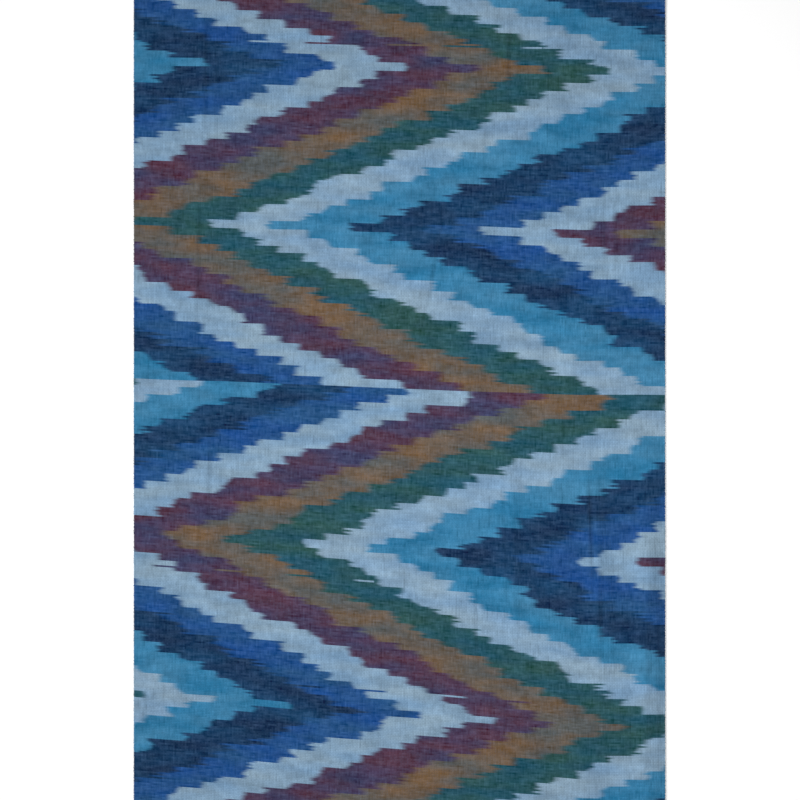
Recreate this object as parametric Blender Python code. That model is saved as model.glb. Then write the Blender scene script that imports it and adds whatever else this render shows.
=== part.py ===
"""A cut length of weft ikat cotton, lying flat with faint creases along its warp.

X is across the cloth, along its dyed weft threads, Y is along its warp, and Z is
up. The origin is on the surface that the cloth lies on, under the cloth's centre.
"""

import math

import bmesh
import bpy

MM = 0.001

# The cut, and the thickness of a sheet of cotton with its air.
CLOTH_WIDTH = 132.75 * MM
CLOTH_LENGTH = 208.0 * MM
CLOTH_THICKNESS = 1.0 * MM

# The grid that bends over the creases, which all run along the warp.
CELLS_ACROSS = 64
CELLS_ALONG = 26

# Each rise is a long, low place where the cloth stands off the surface. It follows
# a straight line from its top end to its foot, in mm from the cloth's centre, and
# is "width" mm wide and "height" mm high at its crest.
RISE_COLUMNS = ("name", "top_x", "top_y", "foot_x", "foot_y", "width", "height")
RISES = (
    ("upper left crease", -46.5, 96.0, -49.5, 56.0, 9.0, 0.45),
    ("left crease", -50.5, 72.0, -51.0, 6.0, 9.0, 0.50),
    ("lower left crease", -47.0, -8.0, -46.5, -42.0, 8.5, 0.40),
    ("middle swell", -8.0, 74.0, -2.0, -34.0, 34.0, 0.35),
    ("inner right crease", 26.8, -4.0, 27.6, -64.0, 9.0, 0.60),
    ("outer right crease", 47.0, -10.0, 51.5, -74.0, 9.5, 0.75),
    ("right edge roll", 62.0, -12.0, 62.0, -112.0, 10.0, 1.30),
)


def rise_height(rise, x, y):
    """Height of one rise over the point x, y, all in mm, and 0 past its rim."""
    run_x = rise["foot_x"] - rise["top_x"]
    run_y = rise["foot_y"] - rise["top_y"]
    length = math.hypot(run_x, run_y)
    along = ((x - rise["top_x"]) * run_x + (y - rise["top_y"]) * run_y) / length
    across = ((x - rise["top_x"]) * run_y - (y - rise["top_y"]) * run_x) / length
    if abs(across) >= rise["width"] / 2 or not 0 < along < length:
        return 0.0
    crest = math.cos(math.pi * across / rise["width"]) ** 2
    ends = math.sin(math.pi * along / length)
    return rise["height"] * crest * ends


def underside_height(x, y):
    """Height of the cloth's underside over the point x, y, in metres."""
    rises = (dict(zip(RISE_COLUMNS, row)) for row in RISES)
    return MM * max(rise_height(rise, x / MM, y / MM) for rise in rises)


def cotton_material():
    """Indigo-dyed cotton, matt as unglazed cloth is."""
    material = bpy.data.materials.new("dyed_cotton")
    material.use_nodes = True
    shader = material.node_tree.nodes["Principled BSDF"]
    shader.inputs["Base Color"].default_value = (0.07, 0.12, 0.2, 1.0)
    shader.inputs["Roughness"].default_value = 0.85
    shader.inputs["Metallic"].default_value = 0.0
    return material


def build_cloth():
    """The sheet: a grid bent over its creases, with a copy of it above for the face."""
    shape = bmesh.new()
    bmesh.ops.create_grid(shape, x_segments=CELLS_ACROSS, y_segments=CELLS_ALONG, size=0.5)
    for vertex in shape.verts:
        x = vertex.co.x * CLOTH_WIDTH
        y = vertex.co.y * CLOTH_LENGTH
        vertex.co = (x, y, underside_height(x, y))
    face = bmesh.ops.extrude_face_region(shape, geom=list(shape.faces))["geom"]
    face_vertices = [item for item in face if isinstance(item, bmesh.types.BMVert)]
    bmesh.ops.translate(shape, verts=face_vertices, vec=(0, 0, CLOTH_THICKNESS))
    bmesh.ops.recalc_face_normals(shape, faces=list(shape.faces))

    mesh = bpy.data.meshes.new("ikat_cloth")
    shape.to_mesh(mesh)
    shape.free()
    mesh.shade_smooth()
    mesh.set_sharp_from_angle(angle=math.radians(40))
    mesh.materials.append(cotton_material())
    cloth = bpy.data.objects.new("ikat_cloth", mesh)
    bpy.context.collection.objects.link(cloth)
    return cloth


def main():
    for old in list(bpy.data.objects):
        bpy.data.objects.remove(old, do_unlink=True)
    build_cloth()


main()
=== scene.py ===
"""Weft ikat cotton: a cut length lying flat, with its zigzag, its weave and its stage.

X is across the cloth, along the dyed weft threads, Y is along the warp and Z is up.
Sizes in the tables are in millimetres.
"""

import math

import bmesh
import bpy
from bpy.props import FloatProperty, FloatVectorProperty, IntProperty, PointerProperty
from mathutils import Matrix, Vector, noise


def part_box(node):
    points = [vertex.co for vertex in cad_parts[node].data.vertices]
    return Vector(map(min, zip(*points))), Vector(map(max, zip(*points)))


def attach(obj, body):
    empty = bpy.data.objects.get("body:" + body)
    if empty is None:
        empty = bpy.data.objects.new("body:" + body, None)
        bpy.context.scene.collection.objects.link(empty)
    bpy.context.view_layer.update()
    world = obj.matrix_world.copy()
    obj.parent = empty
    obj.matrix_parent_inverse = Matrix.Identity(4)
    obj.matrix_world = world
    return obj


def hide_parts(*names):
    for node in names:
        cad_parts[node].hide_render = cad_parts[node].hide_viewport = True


bl_info = {
    "name": "Weft ikat cloth",
    "version": (1, 0, 0),
    "blender": (4, 5, 0),
    "location": "View3D > Sidebar > Ikat",
    "description": "Weaves a cut length of weft ikat cotton and sets its stage",
    "category": "Object",
}

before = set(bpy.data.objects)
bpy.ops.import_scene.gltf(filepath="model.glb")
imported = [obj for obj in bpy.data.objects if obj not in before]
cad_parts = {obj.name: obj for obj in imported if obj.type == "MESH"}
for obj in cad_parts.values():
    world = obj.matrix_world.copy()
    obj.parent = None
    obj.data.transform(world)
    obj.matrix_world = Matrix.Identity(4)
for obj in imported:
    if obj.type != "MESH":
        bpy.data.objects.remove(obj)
CLOTH_NODE = "ikat_cloth"
CLOTH_LOW, CLOTH_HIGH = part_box(CLOTH_NODE)
CLOTH_WIDTH = CLOTH_HIGH[0] - CLOTH_LOW[0]
CLOTH_LENGTH = CLOTH_HIGH[1] - CLOTH_LOW[1]

# One pixel of the picture is 0.25 mm of cloth, and the picture is 800 pixels wide and high.
MM = 0.001
PIXEL = 0.25
IMAGE_PIXELS = 800
VIEW_SIDE = IMAGE_PIXELS * PIXEL
PHOTO_TOP = VIEW_SIDE / 2
LEFT_EDGE = -CLOTH_WIDTH / MM / 2

# Each rise is a long, low place where the cloth stands off the surface, from its top
# end to its foot, in mm from the cloth's centre.
RISE_COLUMNS = ("name", "top_x", "top_y", "foot_x", "foot_y", "width", "height")
RISES = (
    ("upper left crease", -46.5, 96.0, -49.5, 56.0, 9.0, 0.45),
    ("left crease", -50.5, 72.0, -51.0, 6.0, 9.0, 0.50),
    ("lower left crease", -47.0, -8.0, -46.5, -42.0, 8.5, 0.40),
    ("middle swell", -8.0, 74.0, -2.0, -34.0, 34.0, 0.35),
    ("inner right crease", 26.8, -4.0, 27.6, -64.0, 9.0, 0.60),
    ("outer right crease", 47.0, -10.0, 51.5, -74.0, 9.5, 0.75),
    ("right edge roll", 62.0, -12.0, 62.0, -112.0, 10.0, 1.30),
)

# The sharp lines that the creases pressed into the upper face, in the same columns: ridges,
# and valleys, whose height is negative.
CREASES = (
    ("upper left ridge", -48.9, 98.0, -49.3, 64.0, 3.0, 0.22),
    ("upper left valley", -47.4, 97.0, -47.7, 65.0, 3.0, -0.26),
    ("left ridge", -50.3, 63.0, -51.9, 7.0, 3.0, 0.29),
    ("left valley", -49.0, 52.0, -50.2, 16.0, 2.8, -0.21),
    ("lower left ridge", -48.2, -6.0, -48.4, -36.0, 2.8, 0.22),
    ("lower left valley", -46.7, -7.0, -46.9, -35.0, 2.8, -0.26),
    ("upper right ridge", 27.1, 99.0, 26.5, 74.0, 2.8, 0.18),
    ("upper right valley", 28.7, 103.0, 27.9, 64.0, 3.0, -0.23),
    ("right short valley", 51.9, 54.0, 52.0, 28.0, 2.8, -0.18),
    ("right short ridge", 53.6, 55.0, 53.5, 27.0, 2.8, 0.23),
    ("inner right valley", 26.8, -14.0, 26.9, -64.0, 3.0, -0.27),
    ("outer right ridge", 46.8, -18.0, 47.2, -46.0, 2.4, 0.38),
    ("outer right valley", 48.1, -14.0, 48.5, -48.0, 2.4, -0.35),
    ("outer right lower ridge", 48.9, -43.0, 49.6, -64.0, 2.8, 0.21),
    ("outer right lower valley", 50.4, -44.0, 51.4, -66.0, 3.0, -0.26),
    ("upper slanting valley", 12.2, 49.0, 5.4, 14.0, 1.9, -0.32),
    ("middle short valley", 17.2, 10.0, 19.1, -7.0, 1.9, -0.30),
    ("lower short valley", 18.9, -46.0, 20.2, -68.0, 1.9, -0.34),
    ("lower slanting valley", -38.0, -18.0, -20.5, -33.5, 2.2, -0.34),
    ("short valley", 36.2, -34.0, 36.6, -54.0, 3.0, -0.18),
    ("right edge valley", 63.0, -42.0, 62.5, -99.0, 3.2, -0.27),
)

# The eight dyed lengths of the weft yarn, in their order to the right from where blue
# turns to white. "width" is a band's length along the yarn, "soft" is how far the dye
# has crept at the band's left end, and "ragged" how far its threads have slipped there.
BAND_COLUMNS = ("dye", "second", "width", "soft", "ragged")
BANDS = (
    ("white", "lilac_white", 16.7, 1.10, 0.50),
    ("plum", "crimson", 17.7, 1.20, 0.45),
    ("brown", "orange", 16.4, 1.70, 0.70),
    ("green", "teal", 18.1, 1.60, 0.80),
    ("white", "lilac_white", 17.0, 1.10, 0.70),
    ("aqua", "deep_aqua", 18.1, 1.20, 0.45),
    ("navy", "violet_navy", 18.2, 1.10, 0.85),
    ("blue", "slate_blue", 16.1, 1.70, 1.30),
)

# Where blue turns to white, in mm from the left edge, on each step of the zigzag that
# bends, and straight in between. Steps are counted down from the photo's top. After
# step 46 the weaver took a new bobbin, and the pattern jumps.
TURNS = (
    (-3, -7.3),
    (6, 44.7),
    (7, 51.2),
    (8, 44.7),
    (26, -41.3),
    (27, -50.8),
    (28, -41.3),
    (45, 40.7),
    (46, 48.2),
    (47, 68.7),
    (48, 64.7),
    (49, 56.2),
    (65, -21.8),
    (66, -28.3),
    (67, -21.3),
    (85, 64.7),
    (86, 71.7),
    (87, 64.7),
    (108, -36.3),
)

# A step's height in mm, how far its ends wander, and how much of the zigzag's own slant
# its left and right ends have, both in shares of a step. Heights drift over a few steps.
STEP_HEIGHT = 2.0
STEP_UNEVEN = 0.35
STEP_LEAN = 0.12
STEP_DRIFT = 0.35

# How far a whole step slips to either side, and how far it slants from top to foot, in mm.
STEP_SLIP = 1.9
STEP_SLANT = 1.6

# How far one thread slips, in shares of its band's raggedness: most of them, and how much
# more the few do that slip the furthest.
THREAD_SLIP = 0.5
THREAD_FAR_SLIP = 1.3

# Single threads that slipped in the loom: their place down the left edge, how far, and
# the stretch from the left edge over which they did.
STRAY_COLUMNS = ("down", "slip", "first", "last")
STRAYS = (
    (9.3, 3.5, 60.0, 102.0),
    (9.7, -5.0, 24.0, 102.0),
    (141.0, -6.0, 0.0, 60.0),
    (168.3, 5.0, 30.0, 100.0),
)

# How far the weft slopes down to the right, at each place down the cloth, and the place
# from the left edge where it levels out.
SLOPES = ((0, 0.020), (50, 0.027), (100, 0.038), (150, 0.073), (200, 0.079))
LEVEL_PAST = 112.0

# How far the warp leans to the left on its way down, how far both yarns sway to either side,
# in mm, and how often they do, in times a metre.
WARP_LEAN = 0.0175
SWAY = 0.45
SWAY_OFTEN = 28.0

# Handloom cotton has about 24 threads to the centimetre both ways.
THREADS_PER_CM = 24.0
THREAD = 10.0 / THREADS_PER_CM

# Half the width of a reed's dent and of the open line between two dents, in mm, and the
# gain of a warp thread that hides that line.
REED_DENT = 1.30
REED_LINE = 0.4
REED_HIDDEN = 1.03

# Plain weave, in shares of half a thread: how far a thread dips under the next, and how
# much higher the weft stands than the warp.
WEAVE_DIP = 0.55
WEFT_STANDS = 0.18

# The least and the most of the warp's colour that shows, because fibres cross and blur, and
# how far the warp stands above the weft at each, in shares of half a thread.
WARP_LEAST = 0.20
WARP_MOST = 0.28
LEAST_STANDS = -0.7
MOST_STANDS = 0.5

# The relief of the crossings in mm, and how much of it the light picks out.
RELIEF = 0.08
RELIEF_SHOWS = 0.5

# Thick and thin yarn: how much the warp's width and its lightness differ, the lightness
# partly painted shade in the gaps between threads, and the length of such a place in mm.
WARP_UNEVEN = 0.20
WARP_UNEVEN_LENGTH = 3.0
WARP_FLECK = 0.10
WARP_FLECK_LENGTH = 2.5

# How much the weft's lightness differs on dark and on pale dyes, partly as painted shade in
# the gaps between threads, how light those dyes are, and the length of such a place in mm.
DARK_FLECK = 0.155
PALE_FLECK = 0.07
DARK_DYE = 0.06
PALE_DYE = 0.17
WEFT_FLECK_LENGTH = 3.2

# How much the lightness differs from patch to patch, partly the dye's uneven strength and
# partly painted shade of small folds and puckers, and a patch's size in mm, across and down.
# Hues drift over patches of so many mm across and so many threads down, and a band turns
# from its dye to its second shade between two levels of that noise.
STRENGTH_AND_SHADE_UNEVEN = 0.20
STRENGTH_AND_SHADE_PATCH = (7.0, 3.5)
HUE_PATCH = (20.0, 12.5)
HUE_LEVELS = (0.35, 0.65)

# A smooth noise lies nearly always between these levels.
NOISE_LOW = 0.25
NOISE_HIGH = 0.75

# A step between neighbouring threads that makes a smooth noise differ on each of them, and
# numbers that keep one noise apart from the next.
THREADS_APART = 7.3
STEP_LAYER = 3.0
THREAD_LAYER = 8.0
WEFT_FLECK_LAYER = 0.0
WARP_FLECK_LAYER = 30.0
WARP_UNEVEN_LAYER = 60.0
CREASE_LAYER = 2.5
WIDE_LAYER = 4.2
NARROW_LAYER = 9.1

# Lengths up to this many mm are held in a colour ramp as numbers from 0 to 1.
NUMBER_SPAN = 20.0

# How far to the side a crease line wanders, over what length, and the least that a line
# leaves of the cloth's thickness, in mm.
CREASE_WANDER = 0.5
CREASE_WANDER_LENGTH = 14.0
LEAST_THICKNESS = 0.08

# The pucker's wide and narrow waves: their size across and along the warp, in mm, and their
# shares of the height.
WIDE_PUCKER = (9.0, 38.0)
NARROW_PUCKER = (3.2, 15.0)
WIDE_SHARE = 0.7
NARROW_SHARE = 0.3

# How far inside the cloth's edge the cut ends start, in mm, how far they swing to either
# side, in radians, and a tip's thickness as a share of its thread's.
ENDS_INSIDE = 0.05
ENDS_SWING = 0.35
ENDS_TIP = 0.6

# A cotton fibre is 0.02 mm thick and too fine to show, so the colour of the cut ends differs
# over about 0.4 mm, from a share to a multiple of the yarn's own.
FIBRES_A_METRE = 2500.0
FIBRE_LEVELS = (0.3, 0.7)
FIBRE_DARKEST = 0.6
FIBRE_PALEST = 1.6

# A bend sharper than this keeps its edge, and gentler ones are shaded smooth.
SHARP_BEND = math.radians(50)

# The stage in metres: half the floor's side, how far it lies under the cloth, and the size,
# place and aim of each light. The top light hangs low, so the cloth's middle is lit most.
FLOOR_REACH = 1.5
FLOOR_GAP = 0.00002
TOP_SIZE = 0.2
TOP_PLACE = (0.01, -0.02, 0.22)
TOP_AIM = (0.01, -0.02, 0.0)
SIDE_SIZE = 0.8
SIDE_PLACE = (-1.6, 0.8, 1.35)
SIDE_AIM = (0.0, 0.0, 0.0)


def linear(code):
    """Linear colour of an sRGB hex code."""
    parts = [int(code[place : place + 2], 16) / 255 for place in (1, 3, 5)]
    return tuple(p / 12.92 if p <= 0.04045 else ((p + 0.055) / 1.055) ** 2.4 for p in parts)


def dye(name, code, words):
    """A colour setting for one dye."""
    return FloatVectorProperty(
        name=name,
        description=words,
        subtype="COLOR",
        size=3,
        min=0.0,
        max=1.0,
        default=linear(code),
    )


class IkatSheet(bpy.types.PropertyGroup):
    """The cut length of cloth."""

    width: FloatProperty(
        name="Width", description="Across the cloth", default=CLOTH_WIDTH, unit="LENGTH"
    )
    length: FloatProperty(
        name="Length", description="Along the warp", default=CLOTH_LENGTH, unit="LENGTH"
    )
    thickness: FloatProperty(
        name="Thickness", description="Two crossed threads", default=0.45 * MM, unit="LENGTH"
    )
    pucker: FloatProperty(
        name="Pucker", description="Height of small waves", default=0.16 * MM, unit="LENGTH"
    )
    cell_across: FloatProperty(
        name="Cell across", description="Mesh cell, across", default=0.45 * MM, unit="LENGTH"
    )
    cell_along: FloatProperty(
        name="Cell along", description="Mesh cell, along", default=1.5 * MM, unit="LENGTH"
    )


class IkatEnds(bpy.types.PropertyGroup):
    """The cut ends of the threads along the four edges."""

    radius: FloatProperty(
        name="Radius", description="Radius of one thread", default=0.13 * MM, unit="LENGTH"
    )
    shortest: FloatProperty(
        name="Shortest", description="Least length past the edge", default=0.03 * MM, unit="LENGTH"
    )
    longest: FloatProperty(
        name="Longest", description="Most length past the edge", default=0.22 * MM, unit="LENGTH"
    )
    seed: IntProperty(name="Seed", description="Order of the random lengths", default=7)


class IkatDyes(bpy.types.PropertyGroup):
    """The dyes of the weft, and the one colour of the warp."""

    white: dye("White", "#8AA2B4", "Undyed weft, in bluish light")
    lilac_white: dye("Lilac white", "#7999B7", "Undyed weft where the dye has crept in")
    plum: dye("Plum", "#393051", "Maroon over indigo")
    crimson: dye("Crimson", "#522633", "Maroon alone")
    brown: dye("Brown", "#56544C", "Ochre where maroon has crept in")
    orange: dye("Orange", "#70522A", "Ochre alone")
    green: dye("Green", "#274A3E", "Indigo over yellow")
    teal: dye("Teal", "#174856", "Green with more indigo")
    aqua: dye("Aqua", "#407FA4", "Pale indigo")
    deep_aqua: dye("Deep aqua", "#226F98", "Pale indigo, dipped longer")
    navy: dye("Navy", "#071A3E", "Indigo dipped many times")
    violet_navy: dye("Violet navy", "#0F375D", "Indigo with maroon crept in")
    blue: dye("Blue", "#124183", "Indigo dipped a few times")
    slate_blue: dye("Slate blue", "#1E4979", "Indigo that took unevenly")
    warp: dye("Warp", "#2A4C66", "Warp threads, one colour all through")
    fibre: dye("Loose fibre", "#4B5B6E", "Light from the loose fibres of either yarn")


class IkatStage(bpy.types.PropertyGroup):
    """Floor, lights and camera."""

    floor: dye("Floor", "#FBFBFB", "Plain pale floor")
    lens: FloatProperty(
        name="Lens", description="Focal length", default=200.0, unit="CAMERA"
    )
    side_power: FloatProperty(
        name="Side", description="Power of the side light", default=36.0, unit="POWER"
    )
    top_power: FloatProperty(
        name="Top", description="Power of the overhead light", default=0.424, unit="POWER"
    )
    sky: FloatProperty(name="Sky", description="Strength of the even light", default=0.2)


def add(tree, kind, inputs=(), **settings):
    """Adds a node, sets it up and links it. A node as an input gives its first live output."""
    node = tree.nodes.new(kind)
    for name, value in settings.items():
        setattr(node, name, value)
    for place, value in inputs.items() if isinstance(inputs, dict) else enumerate(inputs):
        if isinstance(value, bpy.types.Node):
            value = next(socket for socket in value.outputs if socket.enabled)
        if isinstance(value, bpy.types.NodeSocket):
            tree.links.new(value, node.inputs[place])
        else:
            node.inputs[place].default_value = value
    return node


def rows(columns, table):
    """The rows of a table, each as a dictionary by column name."""
    return [dict(zip(columns, row)) for row in table]


def rise_height(rise, x, y):
    """Height of one rise over the point x, y, all in mm, and 0 past its rim."""
    run_x = rise["foot_x"] - rise["top_x"]
    run_y = rise["foot_y"] - rise["top_y"]
    length = math.hypot(run_x, run_y)
    along = ((x - rise["top_x"]) * run_x + (y - rise["top_y"]) * run_y) / length
    across = ((x - rise["top_x"]) * run_y - (y - rise["top_y"]) * run_x) / length
    if abs(across) >= rise["width"] / 2 or not 0 < along < length:
        return 0.0
    crest = math.cos(math.pi * across / rise["width"]) ** 2
    ends = math.sin(math.pi * along / length)
    return rise["height"] * crest * ends


def underside_height(x, y):
    """Height of the cloth's underside over the point x, y, in metres."""
    return MM * max(rise_height(rise, x / MM, y / MM) for rise in rows(RISE_COLUMNS, RISES))


def crease_height(x, y):
    """Height of the sharp crease lines over the point x, y, in metres. They wander a little."""
    place = Vector((0.0, y / (CREASE_WANDER_LENGTH * MM), CREASE_LAYER))
    wander = CREASE_WANDER * noise.noise(place)
    lines = rows(RISE_COLUMNS, CREASES)
    return MM * sum(rise_height(line, x / MM + wander, y / MM) for line in lines)


def pucker_height(x, y, height):
    """Small unevenness of the face over x, y, longer along the warp than across it."""
    across, along = WIDE_PUCKER
    wide = noise.noise(Vector((x / (across * MM), y / (along * MM), WIDE_LAYER)))
    across, along = NARROW_PUCKER
    narrow = noise.noise(Vector((x / (across * MM), y / (along * MM), NARROW_LAYER)))
    return height * (WIDE_SHARE * wide + NARROW_SHARE * narrow)


def bent_line(tree, value, points):
    """A line through points (value, height), straight in between."""
    (before, height), *others = points
    line = add(tree, "ShaderNodeValue")
    line.outputs[0].default_value = height
    slope = 0.0
    for place, new_height in others:
        new_slope = (new_height - height) / (place - before)
        past = add(tree, "ShaderNodeMath", (value, before), operation="SUBTRACT")
        past = add(tree, "ShaderNodeMath", (past, 0.0), operation="MAXIMUM")
        turn = new_slope - slope
        line = add(tree, "ShaderNodeMath", (past, turn, line), operation="MULTIPLY_ADD")
        before, height, slope = place, new_height, new_slope
    return line


def chart_ramp(tree, index, colours):
    """Picks one of the eight colours by a whole band index of any size."""
    one = 1 / len(BANDS)
    share = add(tree, "ShaderNodeMath", (index, one, 0.5 / len(BANDS)), operation="MULTIPLY_ADD")
    share = add(tree, "ShaderNodeMath", (share,), operation="FRACT")
    ramp = add(tree, "ShaderNodeValToRGB", (share,))
    ramp.color_ramp.interpolation = "CONSTANT"
    while len(ramp.color_ramp.elements) < len(BANDS):
        ramp.color_ramp.elements.new(1.0)
    for place, colour in enumerate(colours):
        ramp.color_ramp.elements[place].position = place / len(BANDS)
        ramp.color_ramp.elements[place].color = (*colour, 1.0)
    return ramp


def band_colour(tree, index, take):
    """Colour of a band, between its dye and its second shade by the share "take"."""
    dyes = bpy.context.scene.ikat_dyes
    bands = rows(BAND_COLUMNS, BANDS)
    main = chart_ramp(tree, index, [getattr(dyes, band["dye"]) for band in bands])
    second = chart_ramp(tree, index, [getattr(dyes, band["second"]) for band in bands])
    return add(tree, "ShaderNodeMix", {0: take, 6: main, 7: second}, data_type="RGBA")


def cloth_places(tree):
    """Places on the cloth in mm: right of the left edge, down the weft, across the warp."""
    place = add(tree, "ShaderNodeTexCoord").outputs["Object"]
    split = add(tree, "ShaderNodeSeparateXYZ", (place,))
    sway = add(tree, "ShaderNodeTexNoise", {"Vector": place, "Scale": SWAY_OFTEN, "Detail": 1.0})
    sway = add(tree, "ShaderNodeSeparateColor", (sway.outputs["Color"],))
    x, y = split.outputs[:2]
    right = add(tree, "ShaderNodeMath", (x, 1 / MM, -LEFT_EDGE), operation="MULTIPLY_ADD")
    down = add(tree, "ShaderNodeMath", (y, -1 / MM, PHOTO_TOP), operation="MULTIPLY_ADD")

    # The weft's height is given by the place where its line leaves the left edge.
    sloping = add(tree, "ShaderNodeMath", (right, LEVEL_PAST), operation="MINIMUM")
    slope = bent_line(tree, down, SLOPES)
    fall = add(tree, "ShaderNodeMath", (sloping, slope), operation="MULTIPLY")
    weft = add(tree, "ShaderNodeMath", (down, fall), operation="SUBTRACT")
    weft_sway = add(tree, "ShaderNodeMapRange", {0: sway.outputs[0], 3: -SWAY, 4: SWAY})
    weft = add(tree, "ShaderNodeMath", (weft, weft_sway), operation="ADD")
    warp = add(tree, "ShaderNodeMath", (down, WARP_LEAN, right), operation="MULTIPLY_ADD")
    warp_sway = add(tree, "ShaderNodeMapRange", {0: sway.outputs[1], 3: -SWAY, 4: SWAY})
    warp = add(tree, "ShaderNodeMath", (warp, warp_sway), operation="ADD")
    return right, weft, warp


def dye_steps(tree, thread):
    """The dye step that a weft thread is in, and its place in that step, from -0.5 to 0.5."""
    middle = add(tree, "ShaderNodeMath", (thread, THREAD / STEP_HEIGHT), operation="MULTIPLY")
    uneven = add(
        tree,
        "ShaderNodeTexNoise",
        {"W": middle, "Scale": STEP_DRIFT, "Detail": 0.0},
        noise_dimensions="1D",
    )
    uneven = add(tree, "ShaderNodeMapRange", {0: uneven, 3: -STEP_UNEVEN, 4: STEP_UNEVEN})
    middle = add(tree, "ShaderNodeMath", (middle, uneven), operation="ADD")
    step = add(tree, "ShaderNodeMath", (middle,), operation="FLOOR")
    in_step = add(tree, "ShaderNodeMath", (middle,), operation="FRACT")
    in_step = add(tree, "ShaderNodeMath", (in_step, 0.5), operation="SUBTRACT")
    return step, in_step


def dye_slip(tree, boundary, step, in_step, thread, ragged):
    """How far a band's end has slipped, in mm: the whole step, its slant and the one thread."""
    of_step = add(tree, "ShaderNodeCombineXYZ", (boundary, step, STEP_LAYER))
    of_step = add(tree, "ShaderNodeTexWhiteNoise", (of_step,), noise_dimensions="3D")
    of_step = add(tree, "ShaderNodeSeparateColor", (of_step.outputs["Color"],))
    whole = add(tree, "ShaderNodeMapRange", {0: of_step.outputs[0], 3: -STEP_SLIP, 4: STEP_SLIP})
    slant = add(tree, "ShaderNodeMapRange", {0: of_step.outputs[1], 3: -STEP_SLANT, 4: STEP_SLANT})
    slip = add(tree, "ShaderNodeMath", (slant, in_step, whole), operation="MULTIPLY_ADD")

    # Most threads slip a little, and a few slip far.
    of_thread = add(tree, "ShaderNodeCombineXYZ", (boundary, thread, THREAD_LAYER))
    of_thread = add(tree, "ShaderNodeTexWhiteNoise", (of_thread,), noise_dimensions="3D")
    of_thread = add(tree, "ShaderNodeMapRange", {0: of_thread, 3: -1.0, 4: 1.0})
    far = add(tree, "ShaderNodeMath", (of_thread, of_thread), operation="MULTIPLY")
    far = add(tree, "ShaderNodeMath", (far, THREAD_FAR_SLIP, THREAD_SLIP), operation="MULTIPLY_ADD")
    far = add(tree, "ShaderNodeMath", (far, of_thread), operation="MULTIPLY")
    return add(tree, "ShaderNodeMath", (far, ragged, slip), operation="MULTIPLY_ADD")


def ikat_dye(tree, right, thread):
    """The dyed colour of a weft thread at a place to the right of the left edge."""
    step, in_step = dye_steps(tree, thread)
    leaning = add(tree, "ShaderNodeMath", (in_step, STEP_LEAN, step), operation="MULTIPLY_ADD")
    place = bent_line(tree, leaning, TURNS)
    for stray in rows(STRAY_COLUMNS, STRAYS):
        middle = (stray["first"] + stray["last"]) / 2
        reach = (stray["last"] - stray["first"]) / 2
        number = int(stray["down"] / THREAD)
        here = add(tree, "ShaderNodeMath", (thread, number, 0.5), operation="COMPARE")
        slipped = add(tree, "ShaderNodeMath", (right, middle, reach), operation="COMPARE")
        here = add(tree, "ShaderNodeMath", (here, slipped), operation="MULTIPLY")
        place = add(tree, "ShaderNodeMath", (here, stray["slip"], place), operation="MULTIPLY_ADD")

    # The nearest boundary between two bands, if all were equally wide.
    bands = rows(BAND_COLUMNS, BANDS)
    mean_width = sum(band["width"] for band in bands) / len(bands)
    along = add(tree, "ShaderNodeMath", (right, place), operation="SUBTRACT")
    boundary = add(tree, "ShaderNodeMath", (along, 1 / mean_width, 0.5), operation="MULTIPLY_ADD")
    boundary = add(tree, "ShaderNodeMath", (boundary,), operation="FLOOR")

    # The boundary's own offset, softness and raggedness, held in a ramp as a colour.
    numbers = []
    start = 0.0
    for order, band in enumerate(bands):
        offset = (start - order * mean_width) / NUMBER_SPAN + 0.5
        numbers.append((offset, band["soft"] / NUMBER_SPAN, band["ragged"] / NUMBER_SPAN))
        start += band["width"]
    numbers = chart_ramp(tree, boundary, numbers)
    numbers = add(tree, "ShaderNodeSeparateColor", (numbers.outputs["Color"],))
    offset = add(
        tree,
        "ShaderNodeMapRange",
        {0: numbers.outputs[0], 3: -NUMBER_SPAN / 2, 4: NUMBER_SPAN / 2},
    )
    soft = add(tree, "ShaderNodeMath", (numbers.outputs[1], NUMBER_SPAN), operation="MULTIPLY")
    ragged = add(tree, "ShaderNodeMath", (numbers.outputs[2], NUMBER_SPAN), operation="MULTIPLY")

    # How far past the boundary, in shares of its softness.
    past = add(tree, "ShaderNodeMath", (boundary, -mean_width, along), operation="MULTIPLY_ADD")
    past = add(tree, "ShaderNodeMath", (past, offset), operation="SUBTRACT")
    slip = dye_slip(tree, boundary, step, in_step, thread, ragged)
    past = add(tree, "ShaderNodeMath", (past, slip), operation="SUBTRACT")
    past = add(tree, "ShaderNodeMath", (past, soft), operation="DIVIDE")
    turned = add(
        tree, "ShaderNodeMapRange", {0: past, 1: -1.0, 2: 1.0}, interpolation_type="SMOOTHSTEP"
    )

    # Each dye took more or less in patches, so its hue drifts along and across the yarn.
    patch = (1 / HUE_PATCH[0], 1 / HUE_PATCH[1], 1.0)
    place = add(tree, "ShaderNodeCombineXYZ", (right, thread, 0.0))
    place = add(tree, "ShaderNodeVectorMath", (place, patch), operation="MULTIPLY")
    take = add(
        tree,
        "ShaderNodeTexNoise",
        {"Vector": place, "Scale": 1.0, "Detail": 2.0, "Roughness": 0.5},
    )
    take = add(tree, "ShaderNodeMapRange", {0: take, 1: HUE_LEVELS[0], 2: HUE_LEVELS[1]})

    before = add(tree, "ShaderNodeMath", (boundary, 1.0), operation="SUBTRACT")
    left_dye = band_colour(tree, before, take)
    right_dye = band_colour(tree, boundary, take)
    return add(tree, "ShaderNodeMix", {0: turned, 6: left_dye, 7: right_dye}, data_type="RGBA")


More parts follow.
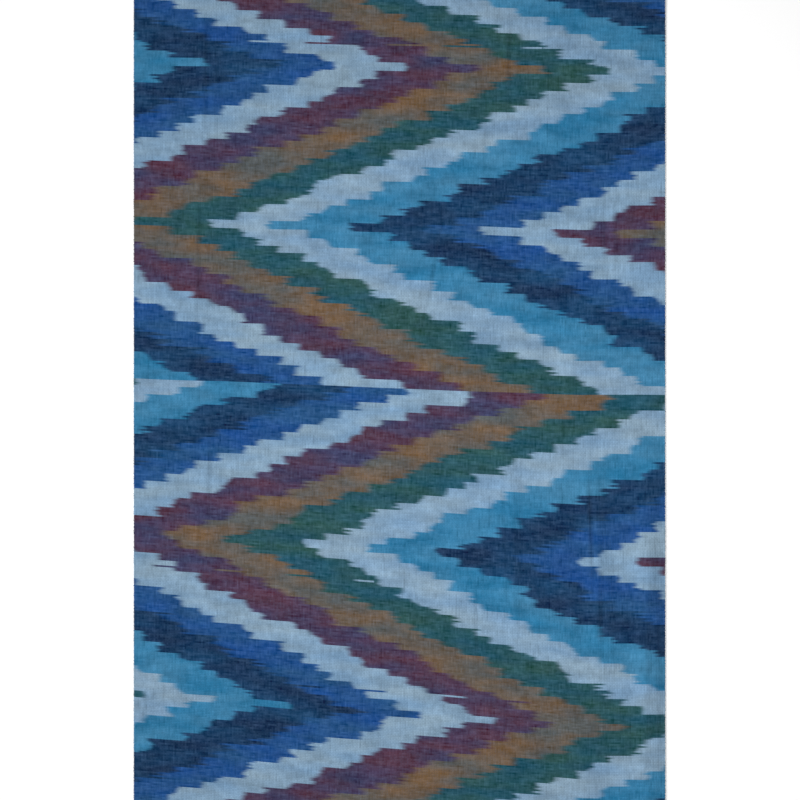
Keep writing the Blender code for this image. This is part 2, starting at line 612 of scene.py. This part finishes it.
def weave(tree, weft_count, warp_count):
    """Plain weave: how far the warp shows, and the face's height in shares of half a thread."""
    # Each thread is round across its width and rises and dips over every other crossing.
    rounds = []
    for count in (weft_count, warp_count):
        half_turns = add(tree, "ShaderNodeMath", (count, math.pi), operation="MULTIPLY")
        wave = add(tree, "ShaderNodeMath", (half_turns,), operation="SINE")
        rounds.append((wave, add(tree, "ShaderNodeMath", (wave,), operation="ABSOLUTE")))
    (weft_wave, weft_round), (warp_wave, warp_round) = rounds
    lift = add(tree, "ShaderNodeMath", (weft_wave, warp_wave), operation="MULTIPLY")
    warp_height = (lift, WEAVE_DIP, warp_round)
    warp_height = add(tree, "ShaderNodeMath", warp_height, operation="MULTIPLY_ADD")
    weft_height = (lift, -WEAVE_DIP, weft_round)
    weft_height = add(tree, "ShaderNodeMath", weft_height, operation="MULTIPLY_ADD")
    weft_height = add(tree, "ShaderNodeMath", (weft_height, WEFT_STANDS), operation="ADD")
    height = add(tree, "ShaderNodeMath", (warp_height, weft_height), operation="MAXIMUM")
    apart = add(tree, "ShaderNodeMath", (warp_height, weft_height), operation="SUBTRACT")
    shows = add(
        tree,
        "ShaderNodeMapRange",
        {0: apart, 1: LEAST_STANDS, 2: MOST_STANDS, 3: WARP_LEAST, 4: WARP_MOST},
        interpolation_type="SMOOTHSTEP",
    )
    return shows, height


def yarn_gain(tree, along, thread, stretch, spread, layer):
    """Handspun yarn: a share that differs from 1 by "spread", in stretches along each thread."""
    apart = (1 / stretch, THREADS_APART, 1.0)
    place = add(tree, "ShaderNodeCombineXYZ", (along, thread, layer))
    place = add(tree, "ShaderNodeVectorMath", (place, apart), operation="MULTIPLY")
    streak = add(tree, "ShaderNodeTexNoise", {"Vector": place, "Scale": 1.0, "Detail": 3.0})
    streak = add(
        tree, "ShaderNodeMapRange", {0: streak, 1: NOISE_LOW, 2: NOISE_HIGH, 3: -1.0, 4: 1.0}
    )
    return add(tree, "ShaderNodeMath", (streak, spread, 1.0), operation="MULTIPLY_ADD")


def dye_strength_and_painted_shade(tree, right, down):
    """Patches some threads high differ in lightness: partly the dye's uneven strength, partly
    painted shade of small folds and puckers.
    """
    size = (1 / STRENGTH_AND_SHADE_PATCH[0], 1 / STRENGTH_AND_SHADE_PATCH[1], 1.0)
    place = add(tree, "ShaderNodeCombineXYZ", (right, down, 0.0))
    place = add(tree, "ShaderNodeVectorMath", (place, size), operation="MULTIPLY")
    patch = add(tree, "ShaderNodeTexNoise", {"Vector": place, "Scale": 1.0, "Detail": 2.0})
    return add(
        tree,
        "ShaderNodeMapRange",
        {0: patch, 1: NOISE_LOW, 2: NOISE_HIGH, 3: 1 - STRENGTH_AND_SHADE_UNEVEN, 4: 1 + STRENGTH_AND_SHADE_UNEVEN},
    )


def ikat_cotton():
    """Handwoven cotton with a space-dyed weft."""
    # To the eye it is matt, finely ribbed by its threads, and soft where one dye ends.
    material = bpy.data.materials.new("weft_ikat_cotton")
    material.use_nodes = True
    tree = material.node_tree
    shader = tree.nodes["Principled BSDF"]

    right, weft, warp = cloth_places(tree)
    weft_count = add(tree, "ShaderNodeMath", (weft, 1 / THREAD), operation="MULTIPLY")
    weft_thread = add(tree, "ShaderNodeMath", (weft_count,), operation="FLOOR")
    warp_count = add(tree, "ShaderNodeMath", (warp, 1 / THREAD), operation="MULTIPLY")
    warp_thread = add(tree, "ShaderNodeMath", (warp_count,), operation="FLOOR")
    dyed = ikat_dye(tree, right, weft_thread)
    shows, height = weave(tree, weft_count, warp_count)

    dyes = bpy.context.scene.ikat_dyes
    # Patches of lightness: partly the dye's uneven strength, partly painted shade of small folds
    # and puckers.
    strength_and_shade = dye_strength_and_painted_shade(tree, right, weft)
    dyed = add(tree, "ShaderNodeVectorMath", {0: dyed, "Scale": strength_and_shade}, operation="SCALE")
    thickness = yarn_gain(
        tree, weft, warp_thread, WARP_UNEVEN_LENGTH, WARP_UNEVEN, WARP_UNEVEN_LAYER
    )
    shows = add(tree, "ShaderNodeMath", (shows, thickness), operation="MULTIPLY")
    face = add(tree, "ShaderNodeMix", {0: shows, 6: dyed, 7: (*dyes.warp, 1.0)}, data_type="RGBA")

    # Yarn is thick and thin, and pale dyes took more evenly than dark ones: these flecks of
    # lightness are partly that and partly painted shade in the gaps between threads. Loose
    # fibres add light of their own, so the flecks differ more in lightness than in hue.
    depth = add(tree, "ShaderNodeRGBToBW", (dyed,))
    depth = add(
        tree,
        "ShaderNodeMapRange",
        {0: depth, 1: DARK_DYE, 2: PALE_DYE, 3: DARK_FLECK, 4: PALE_FLECK},
    )
    weft_gain = yarn_gain(tree, right, weft_thread, WEFT_FLECK_LENGTH, depth, WEFT_FLECK_LAYER)
    warp_gain = yarn_gain(
        tree, weft, warp_thread, WARP_FLECK_LENGTH, WARP_FLECK, WARP_FLECK_LAYER
    )
    gain = add(tree, "ShaderNodeMath", (weft_gain, warp_gain), operation="MULTIPLY")
    fibre = (*dyes.fibre,)
    face = add(tree, "ShaderNodeVectorMath", (face, fibre), operation="ADD")
    face = add(tree, "ShaderNodeVectorMath", {0: face, "Scale": gain}, operation="SCALE")
    face = add(tree, "ShaderNodeVectorMath", (face, fibre), operation="SUBTRACT")
    face = add(tree, "ShaderNodeVectorMath", (face, (0.0, 0.0, 0.0)), operation="MAXIMUM")

    # The reed leaves a fine open line between its dents, here and there.
    dent = add(tree, "ShaderNodeMath", (warp, REED_DENT), operation="PINGPONG")
    line = add(tree, "ShaderNodeMapRange", {0: dent, 1: 0.0, 2: REED_LINE, 3: 1.0, 4: 0.0})
    faint = add(tree, "ShaderNodeMath", (warp_gain, REED_HIDDEN), operation="SUBTRACT")
    line = add(tree, "ShaderNodeMath", (line, faint, 1.0), operation="MULTIPLY_ADD")
    face = add(tree, "ShaderNodeVectorMath", {0: face, "Scale": line}, operation="SCALE")
    tree.links.new(face.outputs[0], shader.inputs["Base Color"])

    relief = {"Strength": RELIEF_SHOWS, "Distance": RELIEF * MM, "Height": height}
    bump = add(tree, "ShaderNodeBump", relief)
    tree.links.new(bump.outputs["Normal"], shader.inputs["Normal"])
    shader.inputs["Roughness"].default_value = 0.9
    shader.inputs["Specular IOR Level"].default_value = 0.12
    shader.inputs["Sheen Weight"].default_value = 0.04
    shader.inputs["Sheen Roughness"].default_value = 0.5
    return material


def warp_cotton():
    """Cut warp ends of indigo cotton yarn."""
    # To the eye they are matt and a little uneven in colour, from one fibre to the next.
    material = bpy.data.materials.new("indigo_warp_cotton")
    material.use_nodes = True
    tree = material.node_tree
    shader = tree.nodes["Principled BSDF"]
    dyes = bpy.context.scene.ikat_dyes
    place = add(tree, "ShaderNodeTexCoord").outputs["Object"]
    fibres = {"Vector": place, "Scale": FIBRES_A_METRE, "Detail": 2.0}
    uneven = add(tree, "ShaderNodeTexNoise", fibres)
    low, high = FIBRE_LEVELS
    gain = add(
        tree, "ShaderNodeMapRange", {0: uneven, 1: low, 2: high, 3: FIBRE_DARKEST, 4: FIBRE_PALEST}
    )
    indigo = (*dyes.warp,)
    colour = add(tree, "ShaderNodeVectorMath", {0: indigo, "Scale": gain}, operation="SCALE")
    tree.links.new(colour.outputs[0], shader.inputs["Base Color"])
    shader.inputs["Roughness"].default_value = 0.9
    shader.inputs["Specular IOR Level"].default_value = 0.25
    return material


def new_piece(name, mesh, material):
    """An object at the origin with one material, shaded smooth but for its sharp edges."""
    mesh.shade_smooth()
    mesh.set_sharp_from_angle(angle=SHARP_BEND)
    mesh.materials.clear()
    mesh.materials.append(material)
    piece = bpy.data.objects.new(name, mesh)
    bpy.context.collection.objects.link(piece)
    return piece


class IKAT_OT_cloth(bpy.types.Operator):
    """Lays the cloth in its creases and dyes it"""

    bl_idname = "ikat.cloth"
    bl_label = "Cloth"

    def execute(self, context):
        sheet = context.scene.ikat_sheet
        shape = bmesh.new()
        bmesh.ops.create_grid(
            shape,
            x_segments=round(sheet.width / sheet.cell_across),
            y_segments=round(sheet.length / sheet.cell_along),
            size=0.5,
        )
        for vertex in shape.verts:
            x = vertex.co.x * sheet.width
            y = vertex.co.y * sheet.length
            vertex.co = (x, y, underside_height(x, y))
        face = bmesh.ops.extrude_face_region(shape, geom=list(shape.faces))["geom"]
        for vertex in (item for item in face if isinstance(item, bmesh.types.BMVert)):
            lift = pucker_height(vertex.co.x, vertex.co.y, sheet.pucker)
            lift += crease_height(vertex.co.x, vertex.co.y)
            vertex.co.z += max(sheet.thickness + lift, LEAST_THICKNESS * MM)
        bmesh.ops.recalc_face_normals(shape, faces=list(shape.faces))
        mesh = bpy.data.meshes.new("ikat_cloth_sheet")
        shape.to_mesh(mesh)
        shape.free()
        cloth = new_piece("ikat_cloth_sheet", mesh, ikat_cotton())
        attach(cloth, "root")
        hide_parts(CLOTH_NODE)
        return {"FINISHED"}


def ends_tree(material):
    """Geometry nodes that set a short cut thread at each point of an edge line."""
    tree = bpy.data.node_groups.new("cut_thread_ends", "GeometryNodeTree")
    face = tree.interface
    face.new_socket("Geometry", in_out="INPUT", socket_type="NodeSocketGeometry")
    for name in ("Pitch", "Radius", "Shortest", "Longest", "Angle"):
        face.new_socket(name, in_out="INPUT", socket_type="NodeSocketFloat")
    face.new_socket("Seed", in_out="INPUT", socket_type="NodeSocketInt")
    face.new_socket("Geometry", in_out="OUTPUT", socket_type="NodeSocketGeometry")
    given = add(tree, "NodeGroupInput").outputs

    line = add(tree, "GeometryNodeMeshToCurve", (given["Geometry"],))
    points = add(
        tree, "GeometryNodeCurveToPoints", {"Curve": line, "Length": given["Pitch"]}, mode="LENGTH"
    )
    depth = add(
        tree,
        "FunctionNodeRandomValue",
        {2: given["Shortest"], 3: given["Longest"], "Seed": given["Seed"]},
        data_type="FLOAT",
    )
    swing = add(
        tree,
        "FunctionNodeRandomValue",
        {2: -ENDS_SWING, 3: ENDS_SWING, "Seed": given["Seed"]},
        data_type="FLOAT",
    )
    turn = add(tree, "ShaderNodeMath", (given["Angle"], swing), operation="ADD")
    rotation = add(tree, "ShaderNodeCombineXYZ", (0.0, math.pi / 2, turn))
    thread = add(
        tree,
        "GeometryNodeMeshCone",
        {
            "Vertices": 6,
            "Side Segments": 2,
            "Radius Top": ENDS_TIP,
            "Radius Bottom": 1.0,
            "Depth": 1.0,
        },
        fill_type="TRIANGLE_FAN",
    )
    scale = add(tree, "ShaderNodeCombineXYZ", (given["Radius"], given["Radius"], depth))
    ends = add(
        tree,
        "GeometryNodeInstanceOnPoints",
        {"Points": points, "Instance": thread, "Rotation": rotation, "Scale": scale},
    )
    real = add(tree, "GeometryNodeRealizeInstances", (ends,))
    dyed = add(tree, "GeometryNodeSetMaterial", {"Geometry": real, "Material": material})
    add(tree, "NodeGroupOutput", (dyed,))
    return tree


def edge_ends(name, corners, material, angle):
    """Cut thread ends along one straight edge of the cloth, from corner to corner."""
    ends = bpy.context.scene.ikat_ends
    sheet = bpy.context.scene.ikat_sheet
    low, high = (Vector(corner) for corner in corners)
    steps = round((high - low).length / sheet.cell_across)
    shape = bmesh.new()
    before = None
    for step in range(steps + 1):
        place = low.lerp(high, step / steps)
        middle = underside_height(place.x, place.y) + sheet.thickness / 2
        vertex = shape.verts.new((place.x, place.y, middle))
        if before:
            shape.edges.new((before, vertex))
        before = vertex
    mesh = bpy.data.meshes.new(name + "_line")
    shape.to_mesh(mesh)
    shape.free()
    line = bpy.data.objects.new(name + "_line", mesh)
    bpy.context.collection.objects.link(line)

    tree = ends_tree(material)
    modifier = line.modifiers.new("ends", "NODES")
    modifier.node_group = tree
    values = {
        "Pitch": THREAD * MM,
        "Radius": ends.radius,
        "Shortest": ends.shortest,
        "Longest": ends.longest,
        "Angle": angle,
        "Seed": ends.seed,
    }
    for socket in tree.interface.items_tree:
        if socket.in_out == "INPUT" and socket.name in values:
            modifier[socket.identifier] = values[socket.name]
    graph = bpy.context.evaluated_depsgraph_get()
    made = bpy.data.meshes.new_from_object(line.evaluated_get(graph))
    line.modifiers.remove(modifier)
    bpy.data.objects.remove(line)
    piece = new_piece(name, made, material)
    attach(piece, "root")
    return piece


class IKAT_OT_thread_ends(bpy.types.Operator):
    """Lets the cut ends of the threads stand a little past the cloth's four edges"""

    bl_idname = "ikat.thread_ends"
    bl_label = "Thread ends"

    def execute(self, context):
        sheet = context.scene.ikat_sheet
        cloth = bpy.data.objects["ikat_cloth_sheet"]
        weft_cotton = cloth.data.materials[0]
        indigo = warp_cotton()
        right = sheet.width / 2 - ENDS_INSIDE * MM
        top = sheet.length / 2 - ENDS_INSIDE * MM
        right_side = ((right, -top, 0), (right, top, 0))
        left_side = ((-right, -top, 0), (-right, top, 0))
        top_side = ((-right, top, 0), (right, top, 0))
        foot_side = ((-right, -top, 0), (right, -top, 0))
        pieces = [
            edge_ends("weft_ends_right", right_side, weft_cotton, 0.0),
            edge_ends("weft_ends_left", left_side, weft_cotton, math.pi),
            edge_ends("warp_ends_top", top_side, indigo, math.pi / 2),
            edge_ends("warp_ends_foot", foot_side, indigo, -math.pi / 2),
        ]
        return {"FINISHED"}


def area_light(name, power, side, place, aim):
    """A square soft light at a place, aimed at a point."""
    light = bpy.data.lights.new(name, "AREA")
    light.energy = power
    light.size = side
    lamp = bpy.data.objects.new(name, light)
    lamp.location = place
    lamp.rotation_euler = (Vector(aim) - Vector(place)).to_track_quat("-Z", "Y").to_euler()
    bpy.context.collection.objects.link(lamp)


class IKAT_OT_stage(bpy.types.Operator):
    """Sets the pale floor, the soft lights and the camera straight above the cloth"""

    bl_idname = "ikat.stage"
    bl_label = "Stage"

    def execute(self, context):
        stage = context.scene.ikat_stage

        # Matt paint, rolled on: to the eye it is even and pale, with no shine.
        paint = bpy.data.materials.new("matt_white_paint")
        paint.use_nodes = True
        tree = paint.node_tree
        shader = tree.nodes["Principled BSDF"]
        shader.inputs["Base Color"].default_value = (*stage.floor, 1.0)
        shader.inputs["Roughness"].default_value = 0.95
        shader.inputs["Specular IOR Level"].default_value = 0.1

        shape = bmesh.new()
        bmesh.ops.create_grid(shape, x_segments=1, y_segments=1, size=FLOOR_REACH)
        bmesh.ops.translate(shape, verts=shape.verts, vec=(0, 0, -FLOOR_GAP))
        mesh = bpy.data.meshes.new("floor")
        shape.to_mesh(mesh)
        shape.free()
        floor = new_piece("floor", mesh, paint)

        area_light("top_light", stage.top_power, TOP_SIZE, TOP_PLACE, TOP_AIM)
        area_light("side_light", stage.side_power, SIDE_SIZE, SIDE_PLACE, SIDE_AIM)
        world = bpy.data.worlds.new("even_light")
        world.use_nodes = True
        sky = world.node_tree.nodes["Background"]
        sky.inputs["Color"].default_value = (1.0, 1.0, 1.0, 1.0)
        sky.inputs["Strength"].default_value = stage.sky
        context.scene.world = world
        context.scene.view_settings.view_transform = "Standard"

        # The cloth's middle lies half a pixel left of the picture's.
        camera = bpy.data.cameras.new("camera")
        camera.lens = stage.lens
        eye = bpy.data.objects.new("camera", camera)
        distance = VIEW_SIDE * MM * camera.lens / camera.sensor_width
        eye.location = (PIXEL / 2 * MM, 0, context.scene.ikat_sheet.thickness + distance)
        camera.clip_start = 0.01
        bpy.context.collection.objects.link(eye)
        context.scene.camera = eye
        return {"FINISHED"}


class IKAT_PT_panel(bpy.types.Panel):
    """Lists the pieces and their settings"""

    bl_label = "Ikat cloth"
    bl_idname = "IKAT_PT_panel"
    bl_space_type = "VIEW_3D"
    bl_region_type = "UI"
    bl_category = "Ikat"

    def draw(self, context):
        for operator, groups in PARTS:
            box = self.layout.box()
            box.operator(operator)
            for group in groups:
                settings = getattr(context.scene, group)
                for name in settings.__annotations__:
                    box.prop(settings, name)


# The operators in the panel, each with its own settings.
PARTS = (
    ("ikat.cloth", ("ikat_sheet", "ikat_dyes")),
    ("ikat.thread_ends", ("ikat_ends",)),
    ("ikat.stage", ("ikat_stage",)),
)
GROUPS = {
    "ikat_sheet": IkatSheet,
    "ikat_dyes": IkatDyes,
    "ikat_ends": IkatEnds,
    "ikat_stage": IkatStage,
}
CLASSES = (*GROUPS.values(), IKAT_OT_cloth, IKAT_OT_thread_ends, IKAT_OT_stage, IKAT_PT_panel)


def register():
    for kind in CLASSES:
        bpy.utils.register_class(kind)
    for name, group in GROUPS.items():
        setattr(bpy.types.Scene, name, PointerProperty(type=group))


def unregister():
    for name in GROUPS:
        delattr(bpy.types.Scene, name)
    for kind in reversed(CLASSES):
        bpy.utils.unregister_class(kind)


def main():
    register()
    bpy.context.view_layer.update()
    bpy.ops.ikat.stage()
    bpy.ops.ikat.cloth()
    bpy.ops.ikat.thread_ends()
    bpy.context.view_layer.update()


if __name__ == "__main__":
    main()
